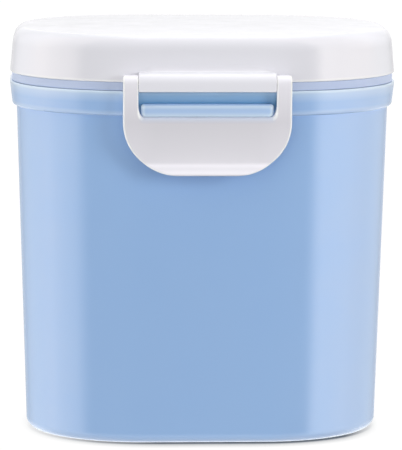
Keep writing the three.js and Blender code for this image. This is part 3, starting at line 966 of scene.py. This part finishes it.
def latch_clip():
    """The latch is drawn flat, as rings from its back to its front, and then laid on its side view."""
    outline = latch_outline()

    def ring(turn, radii, side):
        """One ring of the round edge. Its y is -1 on the front face and 1 on the back one."""
        points = []
        for (point, normal, _, hold), radius in zip(outline, radii):
            inset = radius * (1 - math.cos(turn)) * hold
            lift = radius * (1 - math.sin(turn)) * hold
            moved = point - normal * inset
            points.append((moved.x, side * (1 - lift / FLAT_UNIT), moved.y))
        return points

    turns = quarter_turns(6)
    front = [edge_round for _, _, edge_round, _ in outline]
    back = [LATCH_BACK_ROUND] * len(outline)
    rings = [flat_ring(outline, [radius + SUPPORT for radius in back], 1)]
    rings += [ring(turn, back, 1) for turn in reversed(turns)]
    rings += [ring(turn, front, -1) for turn in turns]
    rings += [flat_ring(outline, [radius + SUPPORT for radius in front], -1)]
    mesh = skinned(rings)

    shell = bmesh.new()
    shell.from_mesh(mesh)
    heights = [
        LATCH_TOP - radius * (1 - math.sin(math.radians(angle)))
        for radius in (ARM_FRONT_RADIUS, ARM_BACK_RADIUS)
        for angle in range(0, 90, 10)
    ]
    heights += [COLLAR_BOTTOM - PLATE_BACK * i / 6 for i in range(7)]
    heights += [LIP_CREASE + LIP_BEND * (1 - i / 3) for i in range(7)]
    heights += LATCH_CUTS
    for height in heights:
        bmesh.ops.bisect_plane(
            shell,
            geom=[*shell.verts, *shell.edges, *shell.faces],
            dist=CUT_SLACK,
            plane_co=(0, 0, height * MM),
            plane_no=(0, 0, 1),
        )
    for vertex in shell.verts:
        depth, z = vertex.co.y / MM, vertex.co.z / MM
        if depth < 0:
            vertex.co.y = (latch_front(z) + FLAT_UNIT * (1 + depth)) * MM
        else:
            vertex.co.y = (latch_back(z) - FLAT_UNIT * (1 - depth)) * MM
    shell.to_mesh(mesh)
    shell.free()

    pivots = []
    inner = LATCH_WIDTH / 2 - ARM_WIDTH
    for side in (-1, 1):
        low, high = sorted((side * (inner - PIVOT_LENGTH + BORE_PLAY), side * (inner + EMBED)))
        pivots.append(pin(PIVOT_RADIUS, low, high, FRONT - PIVOT_FORWARD, PIVOT_HEIGHT))
    latch = fused(outward(mesh), pivots, [catch_pocket()])
    # Share of the painted white highlight on the rounded edges, by how far each normal turns sideways
    edge = latch.attributes.new("edge", "FLOAT", "POINT")
    for vertex, share in zip(latch.vertices, edge.data):
        share.value = smooth_step((abs(vertex.normal.x) - EDGE_HIGHLIGHT_TURN) / EDGE_HIGHLIGHT_SPAN)
    return latch


# Floor and light


# Brightness of the floor's painted contact shadow by how open it is to the light
FOOT_SHADOW = [(0, 0), (0.36, 0.05), (0.6, 0.75), (0.76, 1), (1, 1)]
# How much of the shadow is lost from the left to the right: it is faint round both ends
FOOT_SHADOW_LOSS = [
    (-80, 0.95),
    (-64, 0.9),
    (-36, 0.25),
    (-15, 0),
    (48, 0),
    (62, 0.9),
    (80, 0.95),
]

# How much greyer the floor's painted light is, by the distance from the container's middle to a side and to
# the front
FLOOR_FALLOFF = [(170, 0), (330, 0.5), (480, 1), (900, 1)]
# How much the white part widens to each side for a millimetre further back
WHITE_WIDENING = 0.1
NEAR_FLOOR = (1.04, 1.04, 1.04, 1)
FAR_FLOOR = (0.84, 0.84, 0.85, 1)
SHADOW_TINT = (0.1, 0.125, 0.16, 1)
# How far from the container the floor is shaded, in millimetres, and how finely that is tested
SHADOW_REACH = 14
SHADOW_SAMPLES = 24
# Half of the floor's width, in metres
FLOOR_HALF = 3


def set_floor():
    """A pale floor that glows, with only a painted soft contact shadow round the container's foot. It is
    white round the container and behind it, and painted a little greyer farther out beside it and in front of
    it."""
    material, wiring, surface = new_material("pale_floor")
    tree = material.node_tree
    place = wiring.millimetres(wiring.node("ShaderNodeTexCoord").outputs["Object"])
    widening = wiring.math("MULTIPLY", wiring.math("MAXIMUM", place["Y"], 0), WHITE_WIDENING)
    aside = wiring.math("MAXIMUM", wiring.math("SUBTRACT", wiring.math("ABSOLUTE", place["X"]), widening), 0)
    ahead = wiring.math("MINIMUM", place["Y"], 0)
    squares = [wiring.math("MULTIPLY", side, side) for side in (aside, ahead)]
    far = wiring.graph(wiring.math("SQRT", wiring.math("ADD", *squares)), FLOOR_FALLOFF)
    open_floor = wiring.blend(far, NEAR_FLOOR, FAR_FLOOR)
    reach = {"Distance": SHADOW_REACH * MM}
    openness = wiring.node("ShaderNodeAmbientOcclusion", reach, samples=SHADOW_SAMPLES).outputs["AO"]
    shade = wiring.graph(openness, FOOT_SHADOW)
    loss = wiring.graph(place["X"], FOOT_SHADOW_LOSS)
    shade = wiring.math("ADD", shade, wiring.math("MULTIPLY", wiring.math("SUBTRACT", 1, shade), loss))
    glow = wiring.blend(shade, SHADOW_TINT, open_floor)
    light = wiring.node("ShaderNodeEmission", {"Color": glow})
    wiring.feed(tree.nodes["Material Output"].inputs["Surface"], light.outputs[0])
    tree.nodes.remove(surface)
    mesh = bpy.data.meshes.new("floor")
    corners = [(x * FLOOR_HALF, y * FLOOR_HALF, 0) for x, y in ((-1, -1), (1, -1), (1, 1), (-1, 1))]
    mesh.from_pydata(corners, [], [(0, 1, 2, 3)])
    mesh.materials.append(material)
    floor = linked("floor", mesh)
    floor.visible_diffuse = False
    floor.visible_glossy = False
    floor.visible_transmission = False
    floor.visible_shadow = False


# Brightness of the panels round the container, by compass angle from the front in degrees
RING_OF_LIGHT = [
    (-180, 1),
    (-145, 1.4),
    (-85, 7),
    (-54, 4.5),
    (-43, 0.5),
    (0, 0.4),
    (36, 1.2),
    (45, 7.2),
    (75, 7.2),
    (145, 1.4),
    (180, 1),
]
# Share of it that is left by height, in degrees above the horizon
RING_BY_HEIGHT = [(-90, 0.05), (-50, 0.15), (-15, 1), (0, 0.95), (45, 0.5), (75, 0.1), (90, 0)]
# Brightness of the panel overhead, from the front's horizon over the top to the back's
OVERHEAD = [
    (0, 0.3),
    (10, 0),
    (32, 0),
    (80, 3),
    (105, 4.9),
    (118, 4.7),
    (145, 2),
    (170, 0.8),
    (174, 0.3),
    (180, 0.25),
]
# Share of that panel that is left by how far a ray leans to the left or the right
OVERHEAD_WIDTH = [(-1, 0.25), (-0.2, 0.6), (0, 1), (0.12, 1), (0.3, 0.6), (1, 0.25)]
# The panels at the sides are a little warmer than the other light, by compass angle to either side
WARMTH = [(0, 0), (50, 1), (90, 1), (115, 0), (180, 0)]
SOFT_WHITE = (0.8, 0.8, 0.8, 1)
WARM_WHITE = (0.8, 0.745, 0.705, 1)
# Brightness of the white floor that the plastic mirrors, by height
FLOOR_GLOW = [(-90, 4), (-50, 3.6), (-35, 2.9), (-14, 0), (90, 0)]
# Brightness of the studio that the camera sees
CAMERA_WHITE = 1.3
# Soft diffuse light: its level, and what is added from above, the front, the front and the back alike, the
# right, and the front's right with the back's left
SOFT_LEVEL = 0.42
SOFT_ABOVE = 0.2
SOFT_FRONT = -0.1
SOFT_FRONT_AND_BACK = 0.7
SOFT_RIGHT = -0.25
SOFT_FRONT_RIGHT = -0.95
# Lamps: name, place and size in metres, and power in watts
LAMPS = (
    ("overhead_panel", (-0.05, 0.02, 1.1), (0.5, 0.3), 2.6),
    ("side_panel", (0.7, -0.7, 0.3), (0.3, 0.4), 3.4),
)
LAMP_AIM = (0, 0, 0.1)


def set_panel(name, place, size, energy):
    """A soft lamp that the plastic does not mirror."""
    panel = bpy.data.lights.new(name, "AREA")
    panel.shape = "RECTANGLE"
    panel.size, panel.size_y = size
    panel.energy = energy
    lamp = bpy.data.objects.new(name, panel)
    lamp.location = place
    lamp.rotation_euler = (Vector(LAMP_AIM) - lamp.location).to_track_quat("-Z", "Y").to_euler()
    lamp.visible_glossy = False
    bpy.context.scene.collection.objects.link(lamp)


def set_light():
    """A plain white studio whose light differs by the sort of ray. The camera sees white, mirror rays see
    the panels and the floor, and diffuse rays see a smooth soft light."""
    world = bpy.data.worlds.new("studio")
    bpy.context.scene.world = world
    world.use_nodes = True
    world.cycles.sampling_method = "NONE"
    tree = world.node_tree
    tree.nodes.clear()
    wiring = Wiring(tree)
    direction = wiring.node("ShaderNodeTexCoord").outputs["Generated"]
    parts = wiring.node("ShaderNodeSeparateXYZ", {"Vector": direction}).outputs
    forward = wiring.math("MULTIPLY", parts["Y"], -1)

    def degrees(radians):
        return wiring.math("MULTIPLY", radians, 180 / math.pi)

    compass = degrees(wiring.math("ARCTAN2", parts["X"], forward))
    height = degrees(wiring.math("ARCSINE", parts["Z"]))
    over = degrees(wiring.math("ARCTAN2", parts["Z"], forward))
    ring = wiring.math("MULTIPLY", wiring.graph(compass, RING_OF_LIGHT), wiring.graph(height, RING_BY_HEIGHT))
    overhead = wiring.math("MULTIPLY", wiring.graph(over, OVERHEAD), wiring.graph(parts["X"], OVERHEAD_WIDTH))
    overhead = wiring.math("MULTIPLY", overhead, wiring.math("GREATER_THAN", parts["Z"], 0))
    panels = wiring.math("ADD", wiring.math("ADD", ring, overhead), wiring.graph(height, FLOOR_GLOW))

    soft = SOFT_LEVEL
    for share, value in (
        (SOFT_ABOVE, parts["Z"]),
        (SOFT_FRONT, forward),
        (SOFT_FRONT_AND_BACK, wiring.math("MULTIPLY", forward, forward)),
        (SOFT_RIGHT, parts["X"]),
        (SOFT_FRONT_RIGHT, wiring.math("MULTIPLY", parts["X"], forward)),
    ):
        soft = wiring.math("ADD", wiring.math("MULTIPLY", value, share), soft)
    soft = wiring.math("MAXIMUM", soft, 0)

    rays = wiring.node("ShaderNodeLightPath").outputs

    def chosen(share, there, otherwise):
        pick = wiring.node("ShaderNodeMix", data_type="FLOAT")
        wiring.feed(pick.inputs["Factor"], share)
        wiring.feed(pick.inputs[2], otherwise)
        wiring.feed(pick.inputs[3], there)
        return pick.outputs[0]

    seen = chosen(rays["Is Glossy Ray"], panels, soft)
    strength = chosen(rays["Is Camera Ray"], CAMERA_WHITE, seen)
    warmth = wiring.graph(wiring.math("ABSOLUTE", compass), WARMTH)
    warmth = wiring.math("MULTIPLY", warmth, rays["Is Glossy Ray"])
    tint = wiring.blend(warmth, SOFT_WHITE, WARM_WHITE)
    background = wiring.node("ShaderNodeBackground", {"Color": tint, "Strength": strength})
    wiring.node("ShaderNodeOutputWorld", {"Surface": background.outputs[0]})

    for lamp in LAMPS:
        set_panel(*lamp)
    bpy.context.scene.view_settings.view_transform = "Standard"


set_camera()
piece("tub_body", tub_body(), "tub", BLUE_PLASTIC)
piece("seal_ring", seal_ring(), "seal_band", SEAL_SILICONE)
piece("lid_cover", lid_cover(), "lid", WHITE_PLASTIC)
piece("latch_clip", latch_clip(), "latch", LATCH_PLASTIC)
set_floor()
set_light()
